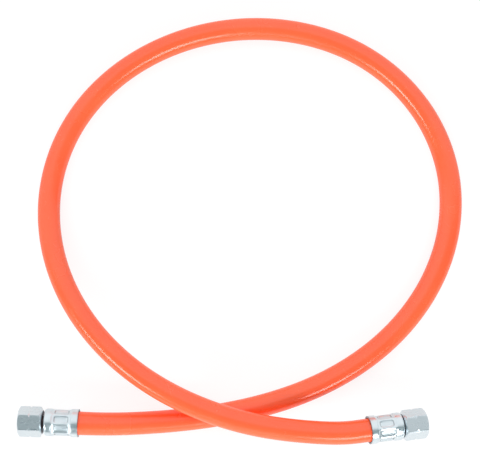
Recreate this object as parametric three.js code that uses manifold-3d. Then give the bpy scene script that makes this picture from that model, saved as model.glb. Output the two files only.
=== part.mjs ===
// Flexible gas hose. A rubber hose with a crimped end fitting and a left-hand union nut at
// each end lies on the floor in one loop, and passes over itself in a long low hump.
// Millimetres, +Z up. The origin is on the floor, midway between the two end fittings.

import * as THREE from 'three';
import { mergeVertices } from 'three/addons/utils/BufferGeometryUtils.js';
import Module from 'manifold-3d';

const wasm = await Module();
wasm.setup();

const degree = Math.PI / 180;

// Gap between two pieces that touch on the real hose
const clearance = 0.3;

// Hose
const hoseDiameter = 14.4;
const hoseBore = 8;
const hoseSides = 12;
const hoseSteps = 72;
const hoseInsideMouth = 3; // full-size hose that stands in the ferrule's mouth
const hoseStraightExit = 12; // straight hose in front of each ferrule
const squeezedWall = 1.4; // hose wall under the crimp
const squeezeTaper = 3.3; // length over which the hose narrows behind the mouth
const wallInset = 0.05; // the squeezed end starts this far inside the hose wall
const rootLength = 1; // length of the squeezed end that stands in the full-size hose

// Ferrule, measured from its mouth, where the hose goes in, to its front
const ferruleLength = 22;
const ferruleWall = 1.1;
const ferruleFrontWall = 1.4;
const ferruleSegments = 48;
const mouthPlay = 0.7; // space round the hose in the flared mouth
const mouthLength = 4.3;
const waistDepth = 0.65; // the crimped ridges lie this much below the mouth
const waistStart = 6.6;
const waistEnd = 13.4;
const shoulderStart = 17.2;
const shoulderDrop = 0.25; // the front shoulder lies this much below the mouth
const shoulderRounding = 2;
const roundingSteps = 3;

// Crimp: eight dies press a ring of pockets into the ferrule
const crimpCount = 8;
const crimpCentre = 11.4;
const crimpLength = 13.9; // a whole pocket with its run-outs
const imprintLength = 9; // the flat floor that the die leaves
const imprintWidth = 4.3;

// Hose tail, the turned piece that runs through the fitting
const gasBore = 5;
const tailStretch = 0.2; // the tail widens the hose bore by this much in radius
const tailSetback = 0.6; // the tail starts this far behind the full-size hose
const barbCount = 3;
const barbDepth = 0.35;
const barbRun = 4;
const neckWall = 1.6;
const lockFlangeHeight = 1.4;
const lockFlangeThickness = 1.4;
const collarPlay = 0.35; // between the collar and the crests of the nut's thread
const collarThickness = 1.6;
const noseLength = 3.4;
const noseTipDiameter = 7.2;
const noseSteps = 3;
const tailSegments = 32;

// Union nut, G 1/4 left-hand
const nutFlats = 6;
const nutAcrossFlats = 17;
const nutLength = 15.4;
const nutBackWall = 3.5;
const nutFaceRim = 0.4; // the chamfer of the open end starts this far inside the flats
const nutBackRim = 1.1; // and the chamfer of the back this far
const nutChamferAngle = 30 * degree;
const nutSegments = 48;
const turningAllowance = 0.2; // the turned outline stands this far outside the hexagon's corners
const threadMajorDiameter = 13.157;
const threadPitch = 1.337;
const threadDepthPerPitch = 0.640327;
const threadLeadIn = 0.9;
const markWidth = 1.6; // V groove over the corners, the sign of a left-hand thread
const markDepth = 0.7;
const looseNutGap = 1.1; // behind a nut that is pushed out against the collar
const seatedNutGap = 0.4; // behind a nut that is pushed back against the ferrule

// The two end fittings as they lie. A turn is about the fitting's own axis.
const fittings = [
  {
    side: 'left', mouth: [-92.25, 0.9, 9], heading: 178.1 * degree, pitchDown: 0,
    crimpTurn: 18 * degree, nutTurn: 0, nutGap: looseNutGap,
  },
  {
    side: 'right', mouth: [92.35, -3, 15.6], heading: 6.4 * degree, pitchDown: 10.5 * degree,
    crimpTurn: -24 * degree, nutTurn: -5 * degree, nutGap: seatedNutGap,
  },
];

// The free hose from the left fitting round the loop to the right one, point by point
const hosePoints = [
  [-52, 1, 8], [-17, 4, 7.3], [19, 10.5, 7.3], [56, 22.5, 7.3], [86, 38.5, 7.3],
  [112, 60, 7.3], [133.5, 89, 7.3], [146, 123, 7.3], [146.5, 163, 7.3], [134, 197.5, 7.3],
  [111.5, 225.5, 7.3], [83.5, 244.5, 7.3], [48, 256, 7.3], [11, 258, 7.3], [-25, 251, 7.3],
  [-55.5, 237, 7.3], [-84, 213.5, 7.3], [-103, 185, 7.4], [-113, 147.5, 8.2],
  [-110, 111.5, 11.3], [-96.5, 78.5, 15.5], [-75.5, 51, 19], [-46.5, 27.5, 21.4],
  [-17.5, 12.5, 21.9], [22, 0.5, 21.8], [57.5, -4, 20.2],
];

// Radii that follow from the sizes above
const hoseRadius = hoseDiameter / 2;
const tailRadius = hoseBore / 2 + tailStretch;
const squeezedBore = tailRadius + clearance;
const squeezedRadius = squeezedBore + squeezedWall;
const pocketFloor = squeezedRadius + clearance + ferruleWall;
const mouthRadius = hoseRadius + mouthPlay + ferruleWall;
const neckRadius = gasBore / 2 + neckWall;
const neckHole = neckRadius + clearance;
const threadMinorRadius = threadMajorDiameter / 2 - threadDepthPerPitch * threadPitch;
const collarRadius = threadMinorRadius - collarPlay;
const nutCornerRadius = nutAcrossFlats / 2 / Math.cos(Math.PI / nutFlats);

// Places along a fitting's axis that follow from the sizes above
const lockFlangeFront = ferruleLength - ferruleFrontWall - clearance;
const lockFlangeBack = lockFlangeFront - lockFlangeThickness;
const hoseEnd = lockFlangeBack - clearance;
const collarBack = ferruleLength + looseNutGap + nutBackWall + clearance;

// Turns the faces of a closed geometry outwards
function facedOutwards(geometry) {
  const position = geometry.attributes.position;
  const index = geometry.index.array;
  const corners = [new THREE.Vector3(), new THREE.Vector3(), new THREE.Vector3()];
  let volume = 0;
  for (let i = 0; i < index.length; i += 3) {
    corners.forEach((corner, k) => corner.fromBufferAttribute(position, index[i + k]));
    volume += corners[0].dot(corners[1].clone().cross(corners[2]));
  }
  if (volume < 0) index.reverse();
  return geometry;
}

// Leaves only merged corner points, so that the surface is closed
function welded(geometry) {
  const bare = geometry.clone();
  bare.deleteAttribute('normal');
  bare.deleteAttribute('uv');
  return facedOutwards(mergeVertices(bare));
}

// Revolves a closed ring profile of [axial, radius] points about the X axis
function turnedRing(profile, segments) {
  const ring = [...profile, profile[0]].map(([axial, radius]) => new THREE.Vector2(radius, axial));
  return welded(new THREE.LatheGeometry(ring, segments).rotateZ(-90 * degree));
}

function solidOf(geometry) {
  return new wasm.Manifold(new wasm.Mesh({
    numProp: 3,
    vertProperties: new Float32Array(geometry.attributes.position.array),
    triVerts: new Uint32Array(geometry.index.array),
  }));
}

function geometryOf(solid) {
  const mesh = solid.getMesh();
  const geometry = new THREE.BufferGeometry();
  geometry.setAttribute('position', new THREE.BufferAttribute(mesh.vertProperties, 3));
  geometry.setIndex(new THREE.BufferAttribute(mesh.triVerts, 1));
  return geometry;
}

function pieceMesh(name, geometry, color, roughness, metalness) {
  const faceted = geometry.toNonIndexed();
  faceted.computeVertexNormals();
  const mesh = new THREE.Mesh(faceted, new THREE.MeshStandardMaterial({ color, roughness, metalness }));
  mesh.name = name;
  return mesh;
}

// A frame with its origin in the ferrule's mouth and +X towards the open end of the nut
function fittingFrame(fitting) {
  const frame = new THREE.Group();
  frame.position.set(...fitting.mouth);
  frame.rotation.set(0, fitting.pitchDown, fitting.heading, 'ZYX');
  frame.updateMatrix();
  return frame;
}

function pointOnAxis(fitting, axial) {
  return new THREE.Vector3(axial, 0, 0).applyMatrix4(fittingFrame(fitting).matrix);
}

function hoseRoute() {
  const [left, right] = fittings;
  return new THREE.CatmullRomCurve3([
    pointOnAxis(left, hoseInsideMouth),
    pointOnAxis(left, -hoseStraightExit),
    ...hosePoints.map((point) => new THREE.Vector3(...point)),
    pointOnAxis(right, -hoseStraightExit),
    pointOnAxis(right, hoseInsideMouth),
  ], false, 'centripetal');
}

function hoseSection() {
  const step = 2 * Math.PI / hoseSides;
  const corner = (radius, i) => new THREE.Vector2(radius * Math.cos(i * step), radius * Math.sin(i * step));
  const round = (radius) => Array.from({ length: hoseSides }, (_, i) => corner(radius, i));
  const section = new THREE.Shape(round(hoseRadius));
  section.holes.push(new THREE.Path(round(hoseBore / 2).reverse()));
  return section;
}

// The end of the hose, squeezed between the tail and the crimped ferrule
function squeezedEnd(fitting) {
  const rootRadius = hoseRadius * Math.cos(Math.PI / hoseSides) - wallInset;
  const rootStart = hoseInsideMouth - rootLength;
  const end = turnedRing([
    [rootStart, rootRadius],
    [hoseInsideMouth + wallInset, rootRadius],
    [hoseInsideMouth + squeezeTaper, squeezedRadius],
    [hoseEnd, squeezedRadius],
    [hoseEnd, squeezedBore],
    [rootStart, squeezedBore],
  ], hoseSides * 2);
  return end.applyMatrix4(fittingFrame(fitting).matrix);
}

function hoseGeometry() {
  const tube = new THREE.ExtrudeGeometry(hoseSection(), { steps: hoseSteps, extrudePath: hoseRoute() });
  let hose = solidOf(welded(tube));
  for (const fitting of fittings) hose = hose.add(solidOf(squeezedEnd(fitting)));
  return geometryOf(hose);
}

// Radius of the ferrule before it is crimped
function ferruleRadius(axial) {
  const intoWaist = THREE.MathUtils.smoothstep(axial, mouthLength, waistStart);
  const ontoShoulder = THREE.MathUtils.smoothstep(axial, waistEnd, shoulderStart);
  return mouthRadius - waistDepth * intoWaist + (waistDepth - shoulderDrop) * ontoShoulder;
}

// How far a die has pushed the wall in, at a place along the axis and an angle round it
function crimpShift(axial, angle) {
  const fromCentre = Math.abs(axial - crimpCentre);
  const press = 1 - THREE.MathUtils.clamp(
    (fromCentre - imprintLength / 2) / (crimpLength / 2 - imprintLength / 2), 0, 1);
  const pitch = 2 * Math.PI / crimpCount;
  const fromPocket = Math.abs(angle - Math.round(angle / pitch) * pitch);
  const floorEdge = Math.atan(imprintWidth / 2 / pocketFloor);
  const edgeRise = THREE.MathUtils.clamp((fromPocket - floorEdge) / (pitch / 2 - floorEdge), 0, 1);
  const before = ferruleRadius(axial);
  const floor = pocketFloor / Math.cos(Math.min(fromPocket, floorEdge));
  return (before - THREE.MathUtils.lerp(floor, before, edgeRise)) * press;
}

function ferruleProfile() {
  const imprintStart = crimpCentre - imprintLength / 2;
  const imprintEnd = crimpCentre + imprintLength / 2;
  const pocketEnd = crimpCentre + crimpLength / 2;
  const roundingStart = ferruleLength - shoulderRounding;
  const stations = [0, mouthLength, (mouthLength + imprintStart) / 2, imprintStart, crimpCentre,
    waistEnd, imprintEnd, shoulderStart, pocketEnd];
  const outside = [...stations, roundingStart].map((axial) => [axial, ferruleRadius(axial)]);
  const shoulderRadius = ferruleRadius(roundingStart);
  for (let i = 1; i <= roundingSteps; i += 1) {
    const angle = i / roundingSteps * 90 * degree;
    outside.push([
      roundingStart + shoulderRounding * Math.sin(angle),
      shoulderRadius - shoulderRounding * (1 - Math.cos(angle)),
    ]);
  }
  const frontInside = ferruleLength - ferruleFrontWall;
  const inside = [...stations, frontInside].map((axial) => [axial, ferruleRadius(axial) - ferruleWall]);
  return [...outside, [ferruleLength, neckHole], [frontInside, neckHole], ...inside.reverse()];
}

function ferruleGeometry() {
  const geometry = turnedRing(ferruleProfile(), ferruleSegments);
  const position = geometry.attributes.position;
  for (let i = 0; i < position.count; i += 1) {
    const [axial, y, z] = [position.getX(i), position.getY(i), position.getZ(i)];
    const radius = Math.hypot(y, z);
    const scale = (radius - crimpShift(axial, Math.atan2(y, z))) / radius;
    position.setXYZ(i, axial, y * scale, z * scale);
  }
  return geometry;
}

function tailGeometry() {
  const tailStart = hoseInsideMouth + tailSetback;
  const outside = [[tailStart, tailRadius - barbDepth]];
  for (let i = 0; i < barbCount; i += 1) {
    outside.push([tailStart + (i + 1) * barbRun, tailRadius]);
    outside.push([tailStart + (i + 1) * barbRun, tailRadius - barbDepth]);
  }
  outside.push([lockFlangeBack, tailRadius - barbDepth]);
  outside.push([lockFlangeBack, neckRadius + lockFlangeHeight]);
  outside.push([lockFlangeFront, neckRadius + lockFlangeHeight]);
  outside.push([lockFlangeFront, neckRadius]);
  outside.push([collarBack, neckRadius]);
  outside.push([collarBack, collarRadius]);
  const noseStart = collarBack + collarThickness;
  for (let i = 0; i <= noseSteps; i += 1) {
    const angle = i / noseSteps * 90 * degree;
    outside.push([
      noseStart + noseLength * Math.sin(angle),
      noseTipDiameter / 2 + (collarRadius - noseTipDiameter / 2) * Math.cos(angle),
    ]);
  }
  const noseEnd = noseStart + noseLength;
  return turnedRing([...outside, [noseEnd, gasBore / 2], [tailStart, gasBore / 2]], tailSegments);
}

// A hexagon bar along +X with one flat upwards
function hexagonBar() {
  const step = 2 * Math.PI / nutFlats;
  const corners = Array.from({ length: nutFlats }, (_, i) => new THREE.Vector2(
    nutCornerRadius * Math.cos((i + 0.5) * step),
    nutCornerRadius * Math.sin((i + 0.5) * step)));
  const bar = new THREE.ExtrudeGeometry(new THREE.Shape(corners), { depth: nutLength, bevelEnabled: false });
  return welded(bar.rotateY(90 * degree));
}

function nutGeometry() {
  const turnedRadius = nutCornerRadius + turningAllowance;
  const faceRadius = nutAcrossFlats / 2 - nutFaceRim;
  const backRadius = nutAcrossFlats / 2 - nutBackRim;
  const chamfer = (turnedRadius - faceRadius) * Math.tan(nutChamferAngle);
  const backChamfer = (turnedRadius - backRadius) * Math.tan(nutChamferAngle);
  const markFloor = nutCornerRadius - markDepth;
  const markHalf = markWidth / 2 * (turnedRadius - markFloor) / markDepth;
  const turned = turnedRing([
    [0, backRadius],
    [backChamfer, turnedRadius],
    [nutLength / 2 - markHalf, turnedRadius],
    [nutLength / 2, markFloor],
    [nutLength / 2 + markHalf, turnedRadius],
    [nutLength - chamfer, turnedRadius],
    [nutLength, faceRadius],
    [nutLength, threadMinorRadius + threadLeadIn],
    [nutLength - threadLeadIn, threadMinorRadius],
    [nutBackWall, threadMinorRadius],
    [nutBackWall, neckHole],
    [0, neckHole],
  ], nutSegments);
  return geometryOf(solidOf(hexagonBar()).intersect(solidOf(turned)));
}

function buildHose() {
  return pieceMesh('hose', hoseGeometry(), 0xfe7049, 0.35, 0);
}

function buildFitting(fitting) {
  const frame = fittingFrame(fitting);
  const ferrule = pieceMesh(`ferrule_${fitting.side}`, ferruleGeometry(), 0xd4dade, 0.28, 1);
  ferrule.rotation.x = fitting.crimpTurn;
  const tail = pieceMesh(`hose_tail_${fitting.side}`, tailGeometry(), 0xc2b48c, 0.35, 1);
  const nut = pieceMesh(`union_nut_${fitting.side}`, nutGeometry(), 0xb4bcc0, 0.33, 1);
  nut.position.x = ferruleLength + fitting.nutGap;
  nut.rotation.x = fitting.nutTurn;
  frame.add(ferrule, tail, nut);
  return frame;
}

const gasHose = new THREE.Group();
gasHose.add(buildHose());
for (const fitting of fittings) gasHose.add(buildFitting(fitting));

export default gasHose;
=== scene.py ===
import math
import bpy
import numpy as np
from mathutils import Euler, Matrix, Vector


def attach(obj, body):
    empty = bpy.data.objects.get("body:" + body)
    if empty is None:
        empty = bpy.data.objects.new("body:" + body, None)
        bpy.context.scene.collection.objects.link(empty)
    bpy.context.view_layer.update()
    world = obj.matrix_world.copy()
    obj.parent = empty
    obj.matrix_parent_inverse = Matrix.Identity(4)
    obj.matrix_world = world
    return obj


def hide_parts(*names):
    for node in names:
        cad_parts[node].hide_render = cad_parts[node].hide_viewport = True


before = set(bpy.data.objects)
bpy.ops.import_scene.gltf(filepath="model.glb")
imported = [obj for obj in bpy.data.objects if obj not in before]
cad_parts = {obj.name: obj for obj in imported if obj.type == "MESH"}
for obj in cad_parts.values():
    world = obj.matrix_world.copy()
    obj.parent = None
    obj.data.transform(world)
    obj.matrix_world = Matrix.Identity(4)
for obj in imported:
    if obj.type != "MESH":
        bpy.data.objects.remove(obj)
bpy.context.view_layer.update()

# Flexible gas hose: an orange rubber hose in one loop, with a crimped ferrule and a union nut at each end.
# The fittings are modelled in millimetres along X and then placed in the frame, which is in metres.

mm = 0.001

# How each fitting lies. Angles are in degrees, turns are about the fitting's own axis.
fittings = {
    "left": {"mouth": (-92.25, 0.9, 9.0), "heading": 178.1, "pitchDown": 0.0,
             "crimpTurn": 18.0, "nutTurn": 0.0, "nutPlace": 23.1, "nutBody": "nut_left"},
    "right": {"mouth": (92.35, -3.0, 15.6), "heading": 6.4, "pitchDown": 10.5,
              "crimpTurn": -24.0, "nutTurn": -5.0, "nutPlace": 22.4, "nutBody": "nut_right"},
}


def fittingMatrix(side):  # from a fitting's millimetres to the frame's metres
    place = fittings[side]
    return (Matrix.Translation(Vector(place["mouth"]) * mm)
            @ Matrix.Rotation(math.radians(place["heading"]), 4, "Z")
            @ Matrix.Rotation(math.radians(place["pitchDown"]), 4, "Y")
            @ Matrix.Scale(mm, 4))


def smoothStep(value, low, high):
    share = min(1.0, max(0.0, (value - low) / (high - low)))
    return share * share * (3 - 2 * share)


# Camera, at the photograph's viewing angle
cameraSettings = {"place": (0.01085, 0.05408, 0.81711), "tilt": 5.0, "lens": 93.75, "sensor": 36.0}

cameraData = bpy.data.cameras.new("camera")
cameraData.sensor_fit = "HORIZONTAL"
cameraData.sensor_width = cameraSettings["sensor"]
cameraData.lens = cameraSettings["lens"]
cameraData.clip_start = 0.01
camera = bpy.data.objects.new("camera", cameraData)
camera.location = cameraSettings["place"]
camera.rotation_euler = (math.radians(cameraSettings["tilt"]), 0, 0)
bpy.context.scene.collection.objects.link(camera)
bpy.context.scene.camera = camera
print("camera placed")


# Hose. The route's points are in millimetres, from the left fitting round the loop to the right one.
hoseSettings = {
    "radius": 7.2, "bore": 4.0, "insideMouth": 3.0, "straightExit": 12.0,
    "squeezedRadius": 5.9, "squeezedBore": 4.5, "squeezeTaper": 3.3, "squeezedEnd": 18.6,
    "bulge": {"left": 0.3, "right": 0.24}, "bulgeLength": 26.0,
    "stepLength": 2.0, "splineSteps": 24, "sides": 48, "boreSides": 24,
    "insideGap": 0.3, "insideStep": 0.9, "floorGap": 0.03,
}
hosePoints = [
    (-52, 1, 8), (-17, 4, 7.3), (19, 10.5, 7.3), (56, 22.5, 7.3), (86, 38.5, 7.3),
    (112, 60, 7.3), (133.5, 89, 7.3), (146, 123, 7.3), (146.5, 163, 7.3), (134, 197.5, 7.3),
    (111.5, 225.5, 7.3), (83.5, 244.5, 7.3), (48, 256, 7.3), (11, 258, 7.3), (-25, 251, 7.3),
    (-55.5, 237, 7.3), (-84, 213.5, 7.3), (-103, 185, 7.4), (-113, 147.5, 8.2),
    (-110, 111.5, 11.3), (-96.5, 78.5, 15.5), (-75.5, 51, 19), (-46.5, 27.5, 21.4),
    (-17.5, 12.5, 21.9), (22, 0.5, 21.8), (57.5, -4, 20.2),
]


def pointOnAxis(side, axial):  # in millimetres
    return np.array(fittingMatrix(side) @ Vector((axial, 0, 0))) / mm


def splineThrough(points, startSlope, endSlope, spacing):  # a smooth curve, evenly stepped
    points = np.array(points)
    knots = np.concatenate([[0], np.cumsum(np.linalg.norm(np.diff(points, axis=0), axis=1))])
    gaps = np.diff(knots)
    count = len(points)
    left = np.zeros((count, count))
    right = np.zeros((count, 3))
    left[0, 0] = left[-1, -1] = 1
    right[0], right[-1] = startSlope, endSlope
    for i in range(1, count - 1):
        before, after = gaps[i - 1], gaps[i]
        left[i, i - 1], left[i, i], left[i, i + 1] = after, 2 * (before + after), before
        right[i] = 3 * (after * (points[i] - points[i - 1]) / before
                        + before * (points[i + 1] - points[i]) / after)
    slopes = np.linalg.solve(left, right)
    curve = []
    for i, gap in enumerate(gaps):
        for share in np.linspace(0, 1, hoseSettings["splineSteps"], endpoint=False):
            a, b = share * share * (3 - 2 * share), share * (1 - share)
            curve.append(points[i] * (1 - a) + points[i + 1] * a
                         + gap * b * ((1 - share) * slopes[i] - share * slopes[i + 1]))
    curve = np.array(curve + [points[-1]])
    run = np.concatenate([[0], np.cumsum(np.linalg.norm(np.diff(curve, axis=0), axis=1))])
    even = np.linspace(0, run[-1], int(round(run[-1] / spacing)) + 1)
    return np.stack([np.interp(even, run, curve[:, k]) for k in range(3)], 1)


def hoseRoute():  # straight in both ferrules, and one smooth curve between them
    settings = hoseSettings
    ends = {}
    for side in fittings:
        axis = pointOnAxis(side, 1) - pointOnAxis(side, 0)
        first, last = settings["insideMouth"] + settings["insideGap"], settings["squeezedEnd"]
        inside = list(np.arange(first, last, settings["insideStep"])) + [last]
        ends[side] = (axis, np.array([pointOnAxis(side, axial) for axial in inside]))
    inMouth, outside = settings["insideMouth"], -settings["straightExit"]
    through = [pointOnAxis("left", inMouth), pointOnAxis("left", outside)]
    through += [np.array(point, float) for point in hosePoints]
    through += [pointOnAxis("right", outside), pointOnAxis("right", inMouth)]
    free = splineThrough(through, -ends["left"][0], ends["right"][0], settings["stepLength"])
    lowest = settings["radius"] + settings["floorGap"]
    free[:, 2] = np.maximum(free[:, 2], lowest)  # it rests on the floor
    return np.vstack([ends["left"][1][::-1], free, ends["right"][1]])


def hoseRadii(inside, side):  # outer and bore radius at a distance inside the ferrule's mouth
    settings = hoseSettings
    bulge = settings["bulge"][side] * math.exp(-max(0.0, -inside) / settings["bulgeLength"])
    squeeze = smoothStep(inside, settings["insideMouth"], settings["insideMouth"] + settings["squeezeTaper"])
    outer = (settings["radius"] + bulge) * (1 - squeeze) + settings["squeezedRadius"] * squeeze
    bore = settings["bore"] * (1 - squeeze) + settings["squeezedBore"] * squeeze
    return outer, bore


def buildHose():
    settings = hoseSettings
    route = hoseRoute()
    run = np.concatenate([[0], np.cumsum(np.linalg.norm(np.diff(route, axis=0), axis=1))])
    tangents = np.gradient(route, run, axis=0)
    tangents /= np.linalg.norm(tangents, axis=1)[:, None]
    mouthLeft, mouthRight = settings["squeezedEnd"], run[-1] - settings["squeezedEnd"]
    side = np.cross(tangents[0], (0, 0, 1))
    rings = {"outer": [], "bore": []}
    straight = {"outer": [], "bore": []}
    for i, (centre, tangent) in enumerate(zip(route, tangents)):
        side = side - tangent * np.dot(side, tangent)
        side /= np.linalg.norm(side)
        up = np.cross(side, tangent)
        nearLeft = run[i] < run[-1] / 2
        inside = mouthLeft - run[i] if nearLeft else run[i] - mouthRight
        outer, bore = hoseRadii(inside, "left" if nearLeft else "right")
        walls = (("outer", outer, settings["sides"]), ("bore", bore, settings["boreSides"]))
        for wall, radius, sides in walls:
            for k in range(sides):
                angle = 2 * math.pi * k / sides
                across, along = radius * math.cos(angle), radius * math.sin(angle)
                rings[wall].append(centre + across * side + along * up)
                straight[wall].append((run[i], across, along))
    corners = [tuple(point * mm) for point in rings["outer"] + rings["bore"]]
    faces = []
    start = len(rings["outer"])
    count = len(route)
    for first, sides, flipped in ((0, settings["sides"], False), (start, settings["boreSides"], True)):
        for i in range(count - 1):
            for k in range(sides):
                a, b = first + i * sides + k, first + i * sides + (k + 1) % sides
                face = (a, b, b + sides, a + sides)
                faces.append(face[::-1] if flipped else face)
    ratio = settings["sides"] // settings["boreSides"]
    for i, flipped in ((0, True), (count - 1, False)):  # the cut ends
        for k in range(settings["boreSides"]):
            inner = start + i * settings["boreSides"]
            outer = i * settings["sides"]
            rim = [outer + (k * ratio + step) % settings["sides"] for step in range(ratio + 1)]
            face = rim + [inner + (k + 1) % settings["boreSides"], inner + k]
            faces.append(tuple(face[::-1] if flipped else face))
    mesh = bpy.data.meshes.new("gasHose")
    mesh.from_pydata(corners, [], faces)
    mesh.polygons.foreach_set("use_smooth", [len(face) == 4 for face in faces])
    place = mesh.attributes.new("benchPlace", "FLOAT_VECTOR", "POINT")
    place.data.foreach_set("vector", np.array(straight["outer"] + straight["bore"], np.float32).ravel())
    hose = bpy.data.objects.new("gasHose", mesh)
    bpy.context.scene.collection.objects.link(hose)
    print("hose length", round(run[-1], 1), "mm, free", round(mouthRight - mouthLeft, 1), "mm")
    return hose, route, run[-1]


# Tools for the turned pieces
def onlyThis(piece):
    bpy.ops.object.select_all(action="DESELECT")
    piece.select_set(True)
    bpy.context.view_layer.objects.active = piece


def spinProfile(name, points, steps):  # turns (axial, radius) points about the X axis
    bpy.ops.object.select_all(action="DESELECT")
    bpy.ops.mesh.primitive_plane_add(size=1)
    piece = bpy.context.object
    piece.name = piece.data.name = name
    bpy.ops.object.mode_set(mode="EDIT")
    bpy.ops.mesh.select_all(action="SELECT")
    bpy.ops.mesh.merge(type="CENTER")
    bpy.ops.transform.translate(value=(points[0][0], 0, points[0][1]))
    for before, after in zip(points, points[1:]):
        move = (after[0] - before[0], 0, after[1] - before[1])
        bpy.ops.mesh.extrude_vertices_move(TRANSFORM_OT_translate={"value": move})
    bpy.ops.mesh.select_all(action="SELECT")
    bpy.ops.mesh.spin(steps=steps, angle=2 * math.pi, center=(0, 0, 0), axis=(1, 0, 0))
    bpy.ops.mesh.select_all(action="SELECT")
    bpy.ops.mesh.remove_doubles(threshold=0.001)
    bpy.ops.mesh.normals_make_consistent(inside=False)
    bpy.ops.object.mode_set(mode="OBJECT")
    return piece


def applyModifier(piece, kind, **values):
    onlyThis(piece)
    modifier = piece.modifiers.new(kind, kind)
    for key, value in values.items():
        setattr(modifier, key, value)
    bpy.ops.object.modifier_apply(modifier=modifier.name)


def weighted(piece, name, share):  # a vertex group from a function of the place
    group = piece.vertex_groups.new(name=name)
    for corner in piece.data.vertices:
        weight = share(corner.co)
        if weight > 0:
            group.add([corner.index], weight, "REPLACE")
    return name


def settle(piece, matrix, sharpAngle):  # keeps the bench place for the materials, then moves the piece home
    corners = np.zeros(len(piece.data.vertices) * 3, np.float32)
    piece.data.vertices.foreach_get("co", corners)
    place = piece.data.attributes.new("benchPlace", "FLOAT_VECTOR", "POINT")
    place.data.foreach_set("vector", corners)
    onlyThis(piece)
    piece.matrix_world = matrix
    bpy.ops.object.transform_apply(location=True, rotation=True, scale=True)
    bpy.ops.object.shade_smooth_by_angle(angle=math.radians(sharpAngle))
    return piece


def copyOf(piece, name):
    twin = piece.copy()
    twin.data = piece.data.copy()
    twin.name = twin.data.name = name
    bpy.context.scene.collection.objects.link(twin)
    return twin


# Ferrule, in millimetres from its mouth
ferruleSettings = {
    "length": 22.0, "wall": 1.1, "mouthRadius": 8.97, "mouthLength": 4.3,
    "waistRadius": 8.38, "waistStart": 6.4, "waistEnd": 15.2, "shoulderStart": 17.2, "shoulderRadius": 8.75,
    "shoulderRounding": 2.0, "shoulderStations": 9, "endRings": (6.0, 5.2), "neckHole": 4.4,
    "stationGap": 0.22, "steps": 240, "rimBevel": 0.18, "rimReach": 0.08, "rimEven": 0.05,
}
crimpSettings = {
    "count": 8, "centre": 10.7, "flatHeight": 7.72, "imprintLength": 8.8, "imprintWidth": 4.3,
    "imprintDepth": 0.46, "imprintStep": 0.35, "imprintCorner": 1.3, "imprintEdge": 0.2,
    "dimple": 0.16, "dimpleSize": 0.42, "dimpleInset": 0.2, "softEdge": 0.06, "clearOf": 0.6,
    "runOut": 2.45, "runOutRise": 1.3, "deepest": 1.6,
    # the shade line and rim settings below place painted shade at the imprints' edges and in the mouth's rim
    "shadeLineWidth": 0.28, "shadeLineSides": 0.2, "shadeLineTurn": (-0.4, 0.6),
    "rimShade": 1.0, "rimShadeRun": (0.1, 0.35), "pressEdge": (-0.1, 0.5),
}


def ferruleRadius(axial):
    settings = ferruleSettings
    waist = smoothStep(axial, settings["mouthLength"], settings["waistStart"])
    shoulder = smoothStep(axial, settings["waistEnd"], settings["shoulderStart"])
    return (settings["mouthRadius"] + (settings["waistRadius"] - settings["mouthRadius"]) * waist
            + (settings["shoulderRadius"] - settings["waistRadius"]) * shoulder)


# A place seen from the nearest pocket: its angle, how far along and across, its distance from the
# imprint's outline, and its reach past the points where the outline's corners begin
def crimpPlace(place):
    settings = crimpSettings
    step = 2 * math.pi / settings["count"]
    off = (math.atan2(place.y, place.z) + step / 2) % step - step / 2
    along = abs(place.x - settings["centre"])
    across = abs(settings["flatHeight"] * math.tan(off))
    corner = settings["imprintCorner"]
    reach = (along - settings["imprintLength"] / 2 + corner, across - settings["imprintWidth"] / 2 + corner)
    edge = math.hypot(max(reach[0], 0), max(reach[1], 0)) + min(max(reach), 0) - corner
    return off, along, across, edge, reach


def crimpDepth(place):  # how far a die has pressed the wall in
    settings = crimpSettings
    off, along, across, edge, reach = crimpPlace(place)
    fromCorner = math.hypot(reach[0] - settings["dimpleInset"], reach[1] - settings["dimpleInset"])
    runOut = max(0.0, along - settings["imprintLength"] / 2) / settings["runOut"]
    flat = settings["flatHeight"] + settings["runOutRise"] * runOut ** 2
    gap = ferruleRadius(place.x) - flat / math.cos(off)
    depth = 0.5 * (gap + math.hypot(gap, settings["softEdge"])) if gap > -settings["clearOf"] else 0.0
    if along > settings["imprintLength"] / 2 + 2 * settings["runOut"]:
        depth = 0.0
    hollow = max(0.0, 1 - (2 * across / settings["imprintWidth"]) ** 2)
    share = settings["imprintStep"] + (1 - settings["imprintStep"]) * hollow
    inImprint = smoothStep(-edge, -settings["imprintEdge"], settings["imprintEdge"])
    depth += settings["imprintDepth"] * share * inImprint
    depth += settings["dimple"] * math.exp(-(fromCorner / settings["dimpleSize"]) ** 2)
    return depth


def crimpShade(place):  # painted shade: a dark line at the imprint's ends, faint along its sides, and in the mouth's rim, standing in for shade in these recesses
    settings = crimpSettings
    *_, edge, reach = crimpPlace(place)
    line = math.exp(-(edge / settings["shadeLineWidth"]) ** 2)
    atEnd = smoothStep(reach[0] - reach[1], *settings["shadeLineTurn"])
    line *= settings["shadeLineSides"] + (1 - settings["shadeLineSides"]) * atEnd
    rim = 1 - smoothStep(place.x, *settings["rimShadeRun"])
    return max(line, settings["rimShade"] * rim)


def crimpPress(place):  # 1 where a die's face has pressed
    edge = crimpPlace(place)[3]
    return smoothStep(-edge, *crimpSettings["pressEdge"])


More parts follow.
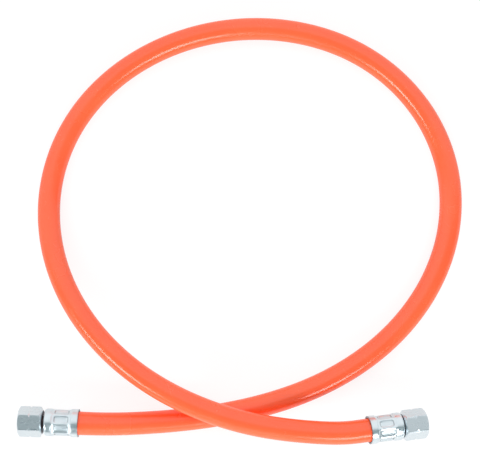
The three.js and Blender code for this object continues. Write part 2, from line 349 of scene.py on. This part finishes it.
def buildFerrule():
    settings = ferruleSettings
    roundStart = settings["length"] - settings["shoulderRounding"]
    stations = list(np.linspace(0, roundStart, int(roundStart / settings["stationGap"])))
    profile = [(axial, ferruleRadius(axial)) for axial in stations]
    shoulder = ferruleRadius(roundStart)
    for turn in np.linspace(0, math.pi / 2, settings["shoulderStations"])[1:]:
        profile.append((roundStart + settings["shoulderRounding"] * math.sin(turn),
                        shoulder - settings["shoulderRounding"] * (1 - math.cos(turn))))
    endRadii = (*settings["endRings"], settings["neckHole"])
    profile += [(settings["length"], radius) for radius in endRadii]
    ferrule = spinProfile("ferrule", profile, settings["steps"])
    deepest = crimpSettings["deepest"]
    group = weighted(ferrule, "crimp", lambda place: min(1.0, crimpDepth(place) / deepest))
    applyModifier(ferrule, "DISPLACE", vertex_group=group, strength=-deepest, mid_level=0.0)
    applyModifier(ferrule, "SOLIDIFY", thickness=settings["wall"], offset=-1.0)
    onlyThis(ferrule)
    bpy.ops.object.mode_set(mode="EDIT")
    bpy.ops.mesh.select_mode(type="EDGE")
    bpy.ops.mesh.select_all(action="DESELECT")
    bpy.ops.object.mode_set(mode="OBJECT")
    corners = ferrule.data.vertices
    for edge in ferrule.data.edges:  # the two circles of the mouth's rim
        ends = [corners[k].co for k in edge.vertices]
        radii = [math.hypot(end.y, end.z) for end in ends]
        atRim = max(end.x for end in ends) < settings["rimReach"]
        edge.select = atRim and abs(radii[0] - radii[1]) < settings["rimEven"]
    bpy.ops.object.mode_set(mode="EDIT")
    bpy.ops.mesh.bevel(offset=settings["rimBevel"], segments=2, affect="EDGES")
    bpy.ops.mesh.select_mode(type="VERT")
    bpy.ops.mesh.select_all(action="SELECT")
    bpy.ops.mesh.normals_make_consistent(inside=False)
    bpy.ops.object.mode_set(mode="OBJECT")
    ferrule.vertex_groups.clear()
    for name, share in (("crimpShade", crimpShade), ("crimpPress", crimpPress)):
        mask = ferrule.data.attributes.new(name, "FLOAT", "POINT")
        mask.data.foreach_set("value", [share(corner.co) for corner in ferrule.data.vertices])
    return ferrule


# Hose tail, in millimetres from the ferrule's mouth
tailSettings = {
    "start": 3.6, "bore": 2.5, "barbRadius": 4.2, "barbDepth": 0.35, "barbRun": 4.0, "barbs": 3,
    "barbCrest": 0.3, "barbDrop": 0.02, "barbStep": 0.15,
    "flangeBack": 18.9, "flangeFront": 20.3, "flangeRadius": 5.5, "neckRadius": 4.1,
    "collarBack": 26.9, "collarThickness": 1.6, "collarRadius": 5.37, "collarEdge": 0.2,
    "noseLength": 3.4, "noseTip": 3.6, "noseStations": 13, "boreMouth": 0.4, "steps": 96,
}


def buildTail():
    settings = tailSettings
    profile = [(settings["start"], settings["barbRadius"] - settings["barbDepth"])]
    for i in range(settings["barbs"]):
        crest = settings["start"] + (i + 1) * settings["barbRun"]
        profile += [(crest - settings["barbCrest"], settings["barbRadius"]),
                    (crest, settings["barbRadius"] - settings["barbDrop"]),
                    (crest + settings["barbStep"], settings["barbRadius"] - settings["barbDepth"])]
    edge = settings["collarEdge"]
    profile += [
        (settings["flangeBack"], settings["barbRadius"] - settings["barbDepth"]),
        (settings["flangeBack"], settings["flangeRadius"] - edge),
        (settings["flangeBack"] + edge, settings["flangeRadius"]),
        (settings["flangeFront"] - edge, settings["flangeRadius"]),
        (settings["flangeFront"], settings["flangeRadius"] - edge),
        (settings["flangeFront"], settings["neckRadius"] + edge),
        (settings["flangeFront"] + edge, settings["neckRadius"]),
        (settings["collarBack"] - edge, settings["neckRadius"]),
        (settings["collarBack"], settings["neckRadius"] + edge),
        (settings["collarBack"], settings["collarRadius"] - edge),
        (settings["collarBack"] + edge, settings["collarRadius"]),
    ]
    noseStart = settings["collarBack"] + settings["collarThickness"]
    for turn in np.linspace(0, math.pi / 2, settings["noseStations"]):
        narrowed = (settings["collarRadius"] - settings["noseTip"]) * math.cos(turn)
        profile.append((noseStart + settings["noseLength"] * math.sin(turn), settings["noseTip"] + narrowed))
    end = noseStart + settings["noseLength"]
    bore, boreMouth = settings["bore"], settings["boreMouth"]
    profile += [(end, bore + boreMouth), (end - boreMouth, bore), (settings["start"], bore), profile[0]]
    return spinProfile("hoseTail", profile, settings["steps"])


# Union nut, G 1/4 left-hand, in millimetres from its back
nutSettings = {
    "acrossFlats": 17.0, "length": 15.4, "faceRadius": 8.1, "backRadius": 7.4,
    "chamferAngle": 30.0, "cornerBevel": 0.2, "edgeIn": 0.1, "edgeOut": 0.02, "edgeRun": 0.06,
    "markWidth": 1.6, "markDepth": 0.7, "markFloorHalf": 0.12, "markFloorRise": 0.05,
    "backHole": 4.4, "backHoleEdge": 0.3, "mouthEdge": 0.15, "backWall": 3.5, "relief": 1.5,
    "threadMinor": 5.72, "threadDepth": 0.86, "pitch": 1.337, "leadIn": 0.95, "stationsPerPitch": 9,
    "threadReach": 0.3, "threadFade": 0.3, "threadSlope": 1.25, "threadRoot": 0.12, "threadCrest": 0.88,
    "threadEnds": 0.01, "reliefGap": 0.05, "steps": 144, "allowance": 0.35, "barSpare": 4,
}


# V thread with small flats. It turns right-handed, although the real nut's thread is left-handed.
def threadDepth(place):
    settings = nutSettings
    start, end = settings["backWall"] + settings["relief"], settings["length"] - settings["leadIn"]
    radius = math.hypot(place.y, place.z)
    inRun = start - settings["threadEnds"] < place.x < end + settings["threadEnds"]
    if radius > settings["threadMinor"] + settings["threadReach"] or not inRun:
        return 0.0
    turn = math.atan2(place.y, place.z) / (2 * math.pi)
    phase = (place.x / settings["pitch"] + turn) % 1.0
    groove = 1 - abs(2 * phase - 1)
    fade = smoothStep(place.x, start - settings["threadEnds"], start + settings["threadFade"])
    depth = groove * settings["threadSlope"] - settings["threadRoot"]
    return fade * min(settings["threadCrest"], max(0.0, depth))


def buildNut():
    settings = nutSettings
    cornerRadius = settings["acrossFlats"] / 2 / math.cos(math.pi / 6)
    turned = cornerRadius + settings["allowance"]
    slope = math.tan(math.radians(settings["chamferAngle"]))
    chamfer = (turned - settings["faceRadius"]) * slope
    backChamfer = (turned - settings["backRadius"]) * slope
    markFloor = cornerRadius - settings["markDepth"]
    markHalf = settings["markWidth"] / 2 * (turned - markFloor) / settings["markDepth"]
    middle, length = settings["length"] / 2, settings["length"]
    threadStart, threadEnd = settings["backWall"] + settings["relief"], length - settings["leadIn"]
    major = settings["threadMinor"] + settings["threadDepth"]
    edgeIn, edgeOut, edgeRun = settings["edgeIn"], settings["edgeOut"], settings["edgeRun"]
    floorHalf, floorTop = settings["markFloorHalf"], markFloor + settings["markFloorRise"]
    profile = [
        (0, settings["backHole"] + settings["backHoleEdge"]), (0, settings["backRadius"] - edgeIn),
        (edgeRun, settings["backRadius"] + edgeOut), (backChamfer, turned),
        (middle - markHalf, turned), (middle - floorHalf, floorTop), (middle, markFloor),
        (middle + floorHalf, floorTop), (middle + markHalf, turned), (length - chamfer, turned),
        (length - edgeRun, settings["faceRadius"] + edgeOut), (length, settings["faceRadius"] - edgeIn),
        (length, major + settings["mouthEdge"]), (length - edgeIn, major),
    ]
    steps = int((threadEnd - threadStart) / settings["pitch"] * settings["stationsPerPitch"])
    profile += [(axial, settings["threadMinor"]) for axial in np.linspace(threadEnd, threadStart, steps)]
    backWall, backHole = settings["backWall"], settings["backHole"]
    profile += [(threadStart - settings["reliefGap"], major), (backWall, major), (backWall, backHole),
                (settings["backHoleEdge"], backHole), profile[0]]
    nut = spinProfile("unionNut", profile, settings["steps"])
    group = weighted(nut, "thread", threadDepth)
    applyModifier(nut, "DISPLACE", vertex_group=group, strength=-settings["threadDepth"], mid_level=0.0)
    bpy.ops.object.select_all(action="DESELECT")
    bpy.ops.mesh.primitive_cylinder_add(vertices=6, radius=cornerRadius, depth=length + settings["barSpare"],
                                        location=(middle, 0, 0), rotation=(0, math.pi / 2, 0))
    bar = bpy.context.object
    bpy.ops.object.transform_apply(location=True, rotation=True, scale=True)
    bpy.ops.object.mode_set(mode="EDIT")
    bpy.ops.mesh.select_mode(type="EDGE")
    bpy.ops.mesh.select_all(action="DESELECT")
    bpy.ops.object.mode_set(mode="OBJECT")
    corners = bar.data.vertices
    for edge in bar.data.edges:  # the six long edges
        ends = [corners[k].co for k in edge.vertices]
        edge.select = abs(ends[0].x - ends[1].x) > length
    bpy.ops.object.mode_set(mode="EDIT")
    bpy.ops.mesh.bevel(offset=settings["cornerBevel"], segments=3, affect="EDGES")
    bpy.ops.mesh.select_mode(type="VERT")
    bpy.ops.object.mode_set(mode="OBJECT")
    applyModifier(nut, "BOOLEAN", operation="INTERSECT", solver="EXACT", object=bar)
    bpy.data.objects.remove(bar)
    onlyThis(nut)
    bpy.ops.object.mode_set(mode="EDIT")
    bpy.ops.mesh.select_all(action="SELECT")
    bpy.ops.mesh.remove_doubles(threshold=0.0005)
    bpy.ops.mesh.normals_make_consistent(inside=False)
    bpy.ops.object.mode_set(mode="OBJECT")
    nut.vertex_groups.clear()
    return nut


# Materials
def node(tree, kind, values=None, **settings):
    made = tree.nodes.new("ShaderNode" + kind)
    for key, value in settings.items():
        setattr(made, key, value)
    for key, value in (values or {}).items():
        if isinstance(value, bpy.types.NodeSocket):
            tree.links.new(value, made.inputs[key])
        else:
            made.inputs[key].default_value = value
    return made


def mixColour(tree, factor, first, second, blend="MIX"):
    mixed = node(tree, "Mix", {0: factor, 6: first, 7: second}, data_type="RGBA", blend_type=blend)
    return mixed.outputs[2]


def newGroup(name, inputs, outputs):
    group = bpy.data.node_groups.new(name, "ShaderNodeTree")
    for label, kind, value in inputs:
        socket = group.interface.new_socket(label, in_out="INPUT", socket_type="NodeSocket" + kind)
        if value is not None:
            socket.default_value = value
    for label, kind in outputs:
        group.interface.new_socket(label, in_out="OUTPUT", socket_type="NodeSocket" + kind)
    return group, group.nodes.new("NodeGroupInput").outputs, group.nodes.new("NodeGroupOutput").inputs


def useGroup(tree, group, values):
    made = node(tree, "Group", node_tree=group)
    for key, value in values.items():
        if isinstance(value, bpy.types.NodeSocket):
            tree.links.new(value, made.inputs[key])
        else:
            made.inputs[key].default_value = value
    return made.outputs


def buildGrainGroup():  # fine grain plus slow mottling, both about 0.5
    group, given, out = newGroup(
        "surfaceGrain",
        [("Place", "Vector", None), ("Grain", "Float", 4.0), ("Mottle", "Float", 0.1),
         ("Stretch", "Float", 1.0)],
        [("Fine", "Float"), ("Slow", "Float")])
    pull = node(group, "CombineXYZ", {"X": given["Stretch"], "Y": 1.0, "Z": 1.0})
    pulled = node(group, "VectorMath", {0: given["Place"], 1: pull.outputs[0]}, operation="MULTIPLY")
    fine = node(group, "TexNoise", {"Vector": pulled.outputs[0], "Scale": given["Grain"],
                                    "Detail": 3.0, "Roughness": 0.6})
    slow = node(group, "TexNoise", {"Vector": given["Place"], "Scale": given["Mottle"],
                                    "Detail": 4.0, "Roughness": 0.55})
    group.links.new(fine.outputs["Fac"], out["Fine"])
    group.links.new(slow.outputs["Fac"], out["Slow"])
    return group


def buildScratchGroup():  # thin hairline marks, 1 on a mark
    group, given, out = newGroup(
        "hairlines",
        [("Place", "Vector", None), ("Scale", "Float", 0.6), ("Thin", "Float", 0.02),
         ("Share", "Float", 0.5)],
        [("Marks", "Float")])
    warp = node(group, "TexNoise", {"Vector": given["Place"], "Scale": 0.35, "Detail": 2.0})
    offset = node(group, "VectorMath", {0: given["Place"], 1: warp.outputs["Color"]}, operation="ADD")
    cells = node(group, "TexVoronoi", {"Vector": offset.outputs[0], "Scale": given["Scale"]},
                 feature="DISTANCE_TO_EDGE")
    line = node(group, "Math", {0: cells.outputs["Distance"], 1: given["Thin"]}, operation="LESS_THAN")
    patch = node(group, "TexNoise", {"Vector": given["Place"], "Scale": 0.5, "Detail": 3.0})
    keep = node(group, "Math", {0: patch.outputs["Fac"], 1: given["Share"]}, operation="GREATER_THAN")
    both = node(group, "Math", {0: line.outputs[0], 1: keep.outputs[0]}, operation="MULTIPLY")
    group.links.new(both.outputs[0], out["Marks"])
    return group


def buildBackGroup():  # 1 on the nut's back face, where painted shade is put
    group, given, out = newGroup(
        "backFace",
        [("Place", "Vector", None), ("Depth", "Float", 0.1)],
        [("Mask", "Float")])
    axial = node(group, "SeparateXYZ", {0: given["Place"]}).outputs[0]
    mask = node(group, "Math", {0: axial, 1: given["Depth"]}, operation="LESS_THAN")
    group.links.new(mask.outputs[0], out["Mask"])
    return group


def startMaterial(name):
    material = bpy.data.materials.new(name)
    material.use_nodes = True
    tree = material.node_tree
    shader = tree.nodes["Principled BSDF"]
    place = node(tree, "Attribute", attribute_name="benchPlace", attribute_type="GEOMETRY").outputs["Vector"]
    return material, tree, shader, place


def ranged(tree, value, low, high, fromLow=0.3, fromHigh=0.7):
    made = node(tree, "MapRange", {"Value": value, "From Min": fromLow, "From Max": fromHigh,
                                   "To Min": low, "To Max": high})
    return made.outputs[0]


rubberFinish = {
    "colour": (0.98, 0.118, 0.034, 1), "deep": (0.96, 0.106, 0.029, 1), "pale": (0.985, 0.134, 0.044, 1),
    "grain": 2.4, "mottle": 0.035, "stretch": 0.22, "bump": 0.05, "bumpDepth": 0.00004,
    "roughLow": 0.22, "roughHigh": 0.29, "specular": 0.75, "index": 1.5,
    "scuffs": {"Scale": 0.07, "Thin": 0.004, "Share": 0.56},
    "scuffColour": (0.95, 0.4, 0.25, 1), "scuffStrength": 0.18,
}


def buildRubber(grainGroup, scratchGroup):
    material, tree, shader, place = startMaterial("orangeRubber")
    grain = useGroup(tree, grainGroup, {"Place": place, "Grain": rubberFinish["grain"],
                                        "Mottle": rubberFinish["mottle"], "Stretch": rubberFinish["stretch"]})
    marks = useGroup(tree, scratchGroup, {"Place": place, **rubberFinish["scuffs"]})
    shade = mixColour(tree, ranged(tree, grain["Slow"], 0, 1), rubberFinish["deep"], rubberFinish["colour"])
    fleck = mixColour(tree, ranged(tree, grain["Fine"], 0, 0.5, 0.5, 0.8), shade, rubberFinish["pale"])
    scuff = ranged(tree, marks["Marks"], 0, rubberFinish["scuffStrength"], 0, 1)
    scuffed = mixColour(tree, scuff, fleck, rubberFinish["scuffColour"])
    tree.links.new(scuffed, shader.inputs["Base Color"])
    tree.links.new(ranged(tree, grain["Slow"], rubberFinish["roughLow"], rubberFinish["roughHigh"]),
                   shader.inputs["Roughness"])
    bump = node(tree, "Bump", {"Height": grain["Fine"], "Strength": rubberFinish["bump"],
                               "Distance": rubberFinish["bumpDepth"]})
    tree.links.new(bump.outputs[0], shader.inputs["Normal"])
    shader.inputs["Specular IOR Level"].default_value = rubberFinish["specular"]
    shader.inputs["IOR"].default_value = rubberFinish["index"]
    return material


# In each finish, dark is the colour of painted shade and the number after it sets how strongly that shade is
# mixed in
zincFinishes = {
    "zincFerrule": {
        "bright": (0.82, 0.90, 0.93, 1), "dull": (0.73, 0.81, 0.85, 1), "tint": (0.77, 0.78, 0.84, 1),
        "dark": (0.10, 0.12, 0.14, 1), "shadeStrength": 0.6, "pressed": 0.1,
        "grain": 2.0, "mottle": 0.16, "stretch": 0.3, "bump": 0.015, "roughLow": 0.3, "roughHigh": 0.34,
    },
    "zincNut": {
        "bright": (0.76, 0.825, 0.855, 1), "dull": (0.72, 0.79, 0.825, 1), "tint": (0.735, 0.775, 0.815, 1),
        "dark": (0.11, 0.08, 0.10, 1), "shadeStrength": 0.95,
        "grain": 1.6, "mottle": 0.12, "stretch": 0.12, "bump": 0.02, "roughLow": 0.26, "roughHigh": 0.32,
    },
}
zincMarks = {
    "hairlines": {"Scale": 0.45, "Thin": 0.012, "Share": 0.52}, "colour": (0.9, 0.92, 0.94, 1),
    "strength": 0.3, "tintStrength": 0.35, "shadeRough": 0.5, "bumpDepth": 0.00003,
}


def buildZinc(name, grainGroup, scratchGroup, backGroup):
    finish = zincFinishes[name]
    material, tree, shader, place = startMaterial(name)
    grain = useGroup(tree, grainGroup, {"Place": place, "Grain": finish["grain"],
                                        "Mottle": finish["mottle"], "Stretch": finish["stretch"]})
    marks = useGroup(tree, scratchGroup, {"Place": place, **zincMarks["hairlines"]})
    film = mixColour(tree, ranged(tree, grain["Slow"], 0, 1), finish["dull"], finish["bright"])
    warm = node(tree, "TexNoise", {"Vector": place, "Scale": 0.22, "Detail": 2.0})
    tint = ranged(tree, warm.outputs["Fac"], 0, zincMarks["tintStrength"], 0.5, 0.75)
    tinted = mixColour(tree, tint, film, finish["tint"])
    scratch = ranged(tree, marks["Marks"], 0, zincMarks["strength"], 0, 1)
    scratched = mixColour(tree, scratch, tinted, zincMarks["colour"])
    rough = ranged(tree, grain["Fine"], finish["roughLow"], finish["roughHigh"])
    if name == "zincFerrule":  # painted shade: dark lines at the imprints' edges and in the mouth's rim, where shade falls in these recesses; the face the dies pressed is rougher
        dark = node(tree, "Attribute", attribute_name="crimpShade", attribute_type="GEOMETRY").outputs["Fac"]
        press = node(tree, "Attribute", attribute_name="crimpPress", attribute_type="GEOMETRY").outputs["Fac"]
        rough = node(tree, "Math", {0: press, 1: finish["pressed"], 2: rough},
                     operation="MULTIPLY_ADD").outputs[0]
    else:  # painted shade: the nut's back face is darkened, standing in for the shade in the gap between nut and ferrule
        dark = useGroup(tree, backGroup, {"Place": place})["Mask"]
    # painted shade: the mask mixes the base colour towards the dark colour and makes the surface rougher
    paintedShade = node(tree, "Math", {0: dark, 1: finish["shadeStrength"]}, operation="MULTIPLY").outputs[0]
    tree.links.new(mixColour(tree, paintedShade, scratched, finish["dark"]), shader.inputs["Base Color"])
    rougher = node(tree, "MapRange", {"Value": paintedShade, "To Min": rough, "To Max": zincMarks["shadeRough"]})
    tree.links.new(rougher.outputs[0], shader.inputs["Roughness"])
    bump = node(tree, "Bump", {"Height": grain["Fine"], "Strength": finish["bump"],
                               "Distance": zincMarks["bumpDepth"]})
    tree.links.new(bump.outputs[0], shader.inputs["Normal"])
    shader.inputs["Metallic"].default_value = 1.0
    return material


# The tail's dark colour near the collar is painted shade for the gap between nut and ferrule
brassFinish = {
    "bright": (0.82, 0.63, 0.33, 1), "dull": (0.62, 0.45, 0.22, 1), "neckShade": (0.17, 0.125, 0.13, 1),
    "neckShadeEnd": 26.0, "unshadedStart": 27.0,
    "grain": 2.0, "mottle": 0.2, "stretch": 6.0, "bump": 0.25, "bumpDepth": 0.00003,
    "roughLow": 0.2, "roughHigh": 0.34,
    "hairlines": {"Scale": 0.5, "Thin": 0.01, "Share": 0.55}, "markColour": (0.9, 0.8, 0.55, 1),
    "markStrength": 0.3,
}


def buildBrass(grainGroup, scratchGroup):
    material, tree, shader, place = startMaterial("turnedBrass")
    grain = useGroup(tree, grainGroup, {"Place": place, "Grain": brassFinish["grain"],
                                        "Mottle": brassFinish["mottle"], "Stretch": brassFinish["stretch"]})
    marks = useGroup(tree, scratchGroup, {"Place": place, **brassFinish["hairlines"]})
    film = mixColour(tree, ranged(tree, grain["Slow"], 0, 1), brassFinish["dull"], brassFinish["bright"])
    scratch = ranged(tree, marks["Marks"], 0, brassFinish["markStrength"], 0, 1)
    scratched = mixColour(tree, scratch, film, brassFinish["markColour"])
    # painted shade: the tail is darkened up to the collar, standing in for the shade between nut and ferrule
    axial = node(tree, "SeparateXYZ", {0: place}).outputs[0]
    shaded = ranged(tree, axial, 1.0, 0.0, brassFinish["neckShadeEnd"], brassFinish["unshadedStart"])
    neckShaded = mixColour(tree, shaded, scratched, brassFinish["neckShade"])
    tree.links.new(neckShaded, shader.inputs["Base Color"])
    tree.links.new(ranged(tree, grain["Fine"], brassFinish["roughLow"], brassFinish["roughHigh"]),
                   shader.inputs["Roughness"])
    bump = node(tree, "Bump", {"Height": grain["Fine"], "Strength": brassFinish["bump"],
                               "Distance": brassFinish["bumpDepth"]})
    tree.links.new(bump.outputs[0], shader.inputs["Normal"])
    shader.inputs["Metallic"].default_value = 1.0
    return material


# Building
hose, route, hoseLength = buildHose()

grainGroup = buildGrainGroup()
scratchGroup = buildScratchGroup()
rubber = buildRubber(grainGroup, scratchGroup)
backGroup = buildBackGroup()
zincFerrule = buildZinc("zincFerrule", grainGroup, scratchGroup, backGroup)
zincNut = buildZinc("zincNut", grainGroup, scratchGroup, backGroup)
brass = buildBrass(grainGroup, scratchGroup)
print("materials made")

hose.data.materials.append(rubber)
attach(hose, "hose_assembly")
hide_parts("hose")

pieces = {
    "ferrule": (buildFerrule(), zincFerrule, "zinc_ferrule", 40),
    "tail": (buildTail(), brass, "brass_tail", 35),
    "nut": (buildNut(), zincNut, "zinc_nut", 25),
}
print("fitting pieces modelled")
nodeNames = {"ferrule": "ferrule_", "tail": "hose_tail_", "nut": "union_nut_"}
endPieces = {"left": [], "right": []}
for side, place in fittings.items():
    nutTurned = Matrix.Rotation(math.radians(place["nutTurn"]), 4, "X")
    turns = {
        "ferrule": Matrix.Rotation(math.radians(place["crimpTurn"]), 4, "X"),
        "tail": Matrix.Identity(4),
        "nut": Matrix.Translation((place["nutPlace"], 0, 0)) @ nutTurned,
    }
    for kind, (master, material, slotName, sharpAngle) in pieces.items():
        piece = copyOf(master, kind + side.title())
        piece.data.materials.append(material)
        settle(piece, fittingMatrix(side) @ turns[kind], sharpAngle)
        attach(piece, place["nutBody"] if kind == "nut" else "hose_assembly")
        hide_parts(nodeNames[kind] + side)
        endPieces[side].append(piece)
for master, *_ in pieces.values():
    bpy.data.objects.remove(master)
print("fittings placed")


# Floor, light and background
studio = {
    "middle": (0, 0.12, 0), "floorSize": 8, "floorColour": 0.82, "floorSeen": 0.24, "floorGlow": 0.8,
    "mirroredSouth": 0.8, "mirroredNorth": 0.62, "mirrorBlend": 0.06,
    "southFill": 0.45, "northFill": 1.38, "north": (-0.1, 1.0, 0.0), "northBlend": 0.16,
    "zenith": (0.26, 0.325, 0.34), "northSky": (0.97, 0.99, 1.0), "patchCore": 0.25,
    "strips": [
        {"azimuth": -65, "elevation": 31, "slant": 0, "width": 17, "height": 10, "level": 9.5},
        {"azimuth": -141, "elevation": 29, "slant": -12, "width": 19, "height": 8.5, "level": 11.5},
    ],
    "key": {"azimuth": -93, "elevation": 19, "distance": 4.0, "size": 2.6, "power": 200.0},
}
bpy.ops.object.select_all(action="DESELECT")
bpy.ops.mesh.primitive_plane_add(size=studio["floorSize"], location=studio["middle"])
floor = bpy.context.object
floor.name = "floor"
floorMaterial = bpy.data.materials.new("paleFloor")
floorMaterial.use_nodes = True
tree = floorMaterial.node_tree
tree.nodes.remove(tree.nodes["Principled BSDF"])
light = node(tree, "LightPath")
seen = node(tree, "Math", {0: light.outputs["Is Camera Ray"], 1: light.outputs["Is Glossy Ray"]},
            operation="MAXIMUM")
shades = [(studio[key],) * 3 + (1,) for key in ("floorColour", "floorSeen")]
matt = node(tree, "BsdfDiffuse", {"Color": mixColour(tree, seen.outputs[0], *shades)})
glow = node(tree, "Emission", {"Color": (1, 1, 1, 1)})
spot = node(tree, "NewGeometry").outputs["Position"]
northing = node(tree, "SeparateXYZ", {0: spot}).outputs[1]
blend = studio["mirrorBlend"]
level = node(tree, "MapRange", {"Value": northing, "From Min": -blend, "From Max": blend,
                                "To Min": studio["mirroredSouth"], "To Max": studio["mirroredNorth"]})
mirrored = node(tree, "Math", {0: light.outputs["Is Glossy Ray"], 1: level.outputs[0]}, operation="MULTIPLY")
glowing = {0: light.outputs["Is Camera Ray"], 1: studio["floorGlow"], 2: mirrored.outputs[0]}
strength = node(tree, "Math", glowing, operation="MULTIPLY_ADD")
tree.links.new(strength.outputs[0], glow.inputs["Strength"])
both = node(tree, "AddShader", {0: matt.outputs[0], 1: glow.outputs[0]})
tree.links.new(both.outputs[0], tree.nodes["Material Output"].inputs["Surface"])
floor.data.materials.append(floorMaterial)


def buildPatchGroup():  # 1 in the middle of a patch of sky, 0 outside it
    group, given, out = newGroup(
        "softPatch",
        [("Direction", "Vector", None), ("Towards", "Vector", None), ("Across", "Vector", None),
         ("Upward", "Vector", None), ("Width", "Float", 0.3), ("Height", "Float", 0.15)],
        [("Patch", "Float")])
    reach = []
    for side, half in (("Across", "Width"), ("Upward", "Height")):
        away = node(group, "VectorMath", {0: given["Direction"], 1: given[side]}, operation="DOT_PRODUCT")
        part = node(group, "Math", {0: away.outputs["Value"], 1: given[half]}, operation="DIVIDE")
        squared = node(group, "Math", {0: part.outputs[0], 1: part.outputs[0]}, operation="MULTIPLY")
        reach.append(squared.outputs[0])
    both = node(group, "Math", {0: reach[0], 1: reach[1]}, operation="ADD")
    soft = node(group, "MapRange", {"Value": both.outputs[0], "From Min": studio["patchCore"],
                                    "From Max": 1.0, "To Min": 1.0, "To Max": 0.0},
                interpolation_type="SMOOTHSTEP")
    front = node(group, "VectorMath", {0: given["Direction"], 1: given["Towards"]}, operation="DOT_PRODUCT")
    ahead = node(group, "Math", {0: front.outputs["Value"], 1: 0.0}, operation="GREATER_THAN")
    patch = node(group, "Math", {0: soft.outputs[0], 1: ahead.outputs[0]}, operation="MULTIPLY")
    group.links.new(patch.outputs[0], out["Patch"])
    return group


patchGroup = buildPatchGroup()
world = bpy.data.worlds.new("studioSky")
world.use_nodes = True
bpy.context.scene.world = world
tree = world.node_tree
direction = node(tree, "TexCoord").outputs["Generated"]
north = node(tree, "VectorMath", {0: direction, 1: studio["north"]}, operation="DOT_PRODUCT").outputs["Value"]
share = node(tree, "MapRange", {"Value": north, "From Min": 0.0, "From Max": studio["northBlend"]},
             interpolation_type="SMOOTHSTEP")
sky = mixColour(tree, share.outputs[0], (*studio["zenith"], 1), (*studio["northSky"], 1))
for strip in studio["strips"]:  # bright soft-edged patches, seen in reflections
    turn = [math.radians(strip[angle]) for angle in ("slant", "elevation", "azimuth")]
    facing = Euler((turn[0], -turn[1], turn[2])).to_matrix()
    width, height = (math.sin(math.radians(strip[size])) for size in ("width", "height"))
    patch = useGroup(tree, patchGroup, {
        "Direction": direction, "Towards": facing.col[0], "Across": facing.col[1], "Upward": facing.col[2],
        "Width": width, "Height": height})["Patch"]
    sky = mixColour(tree, patch, sky, (strip["level"],) * 3 + (1,))
light = node(tree, "LightPath")
fill = mixColour(tree, share.outputs[0], (studio["southFill"],) * 3 + (1,), (studio["northFill"],) * 3 + (1,))
lit = mixColour(tree, light.outputs["Is Glossy Ray"], fill, sky)
white = mixColour(tree, light.outputs["Is Camera Ray"], lit, (1, 1, 1, 1))
tree.links.new(white, tree.nodes["Background"].inputs["Color"])

key = studio["key"]
towards = Euler((0, -math.radians(key["elevation"]), math.radians(key["azimuth"]))).to_matrix().col[0]
keyData = bpy.data.lights.new("softKey", "AREA")
keyData.size = key["size"]
keyData.energy = key["power"]
lamp = bpy.data.objects.new("softKey", keyData)
lamp.location = Vector(studio["middle"]) + towards * key["distance"]
lamp.rotation_euler = towards.to_track_quat("Z", "Y").to_euler()
lamp.visible_glossy = False
bpy.context.scene.collection.objects.link(lamp)
print("studio ready")

bpy.context.scene.view_settings.view_transform = "Standard"
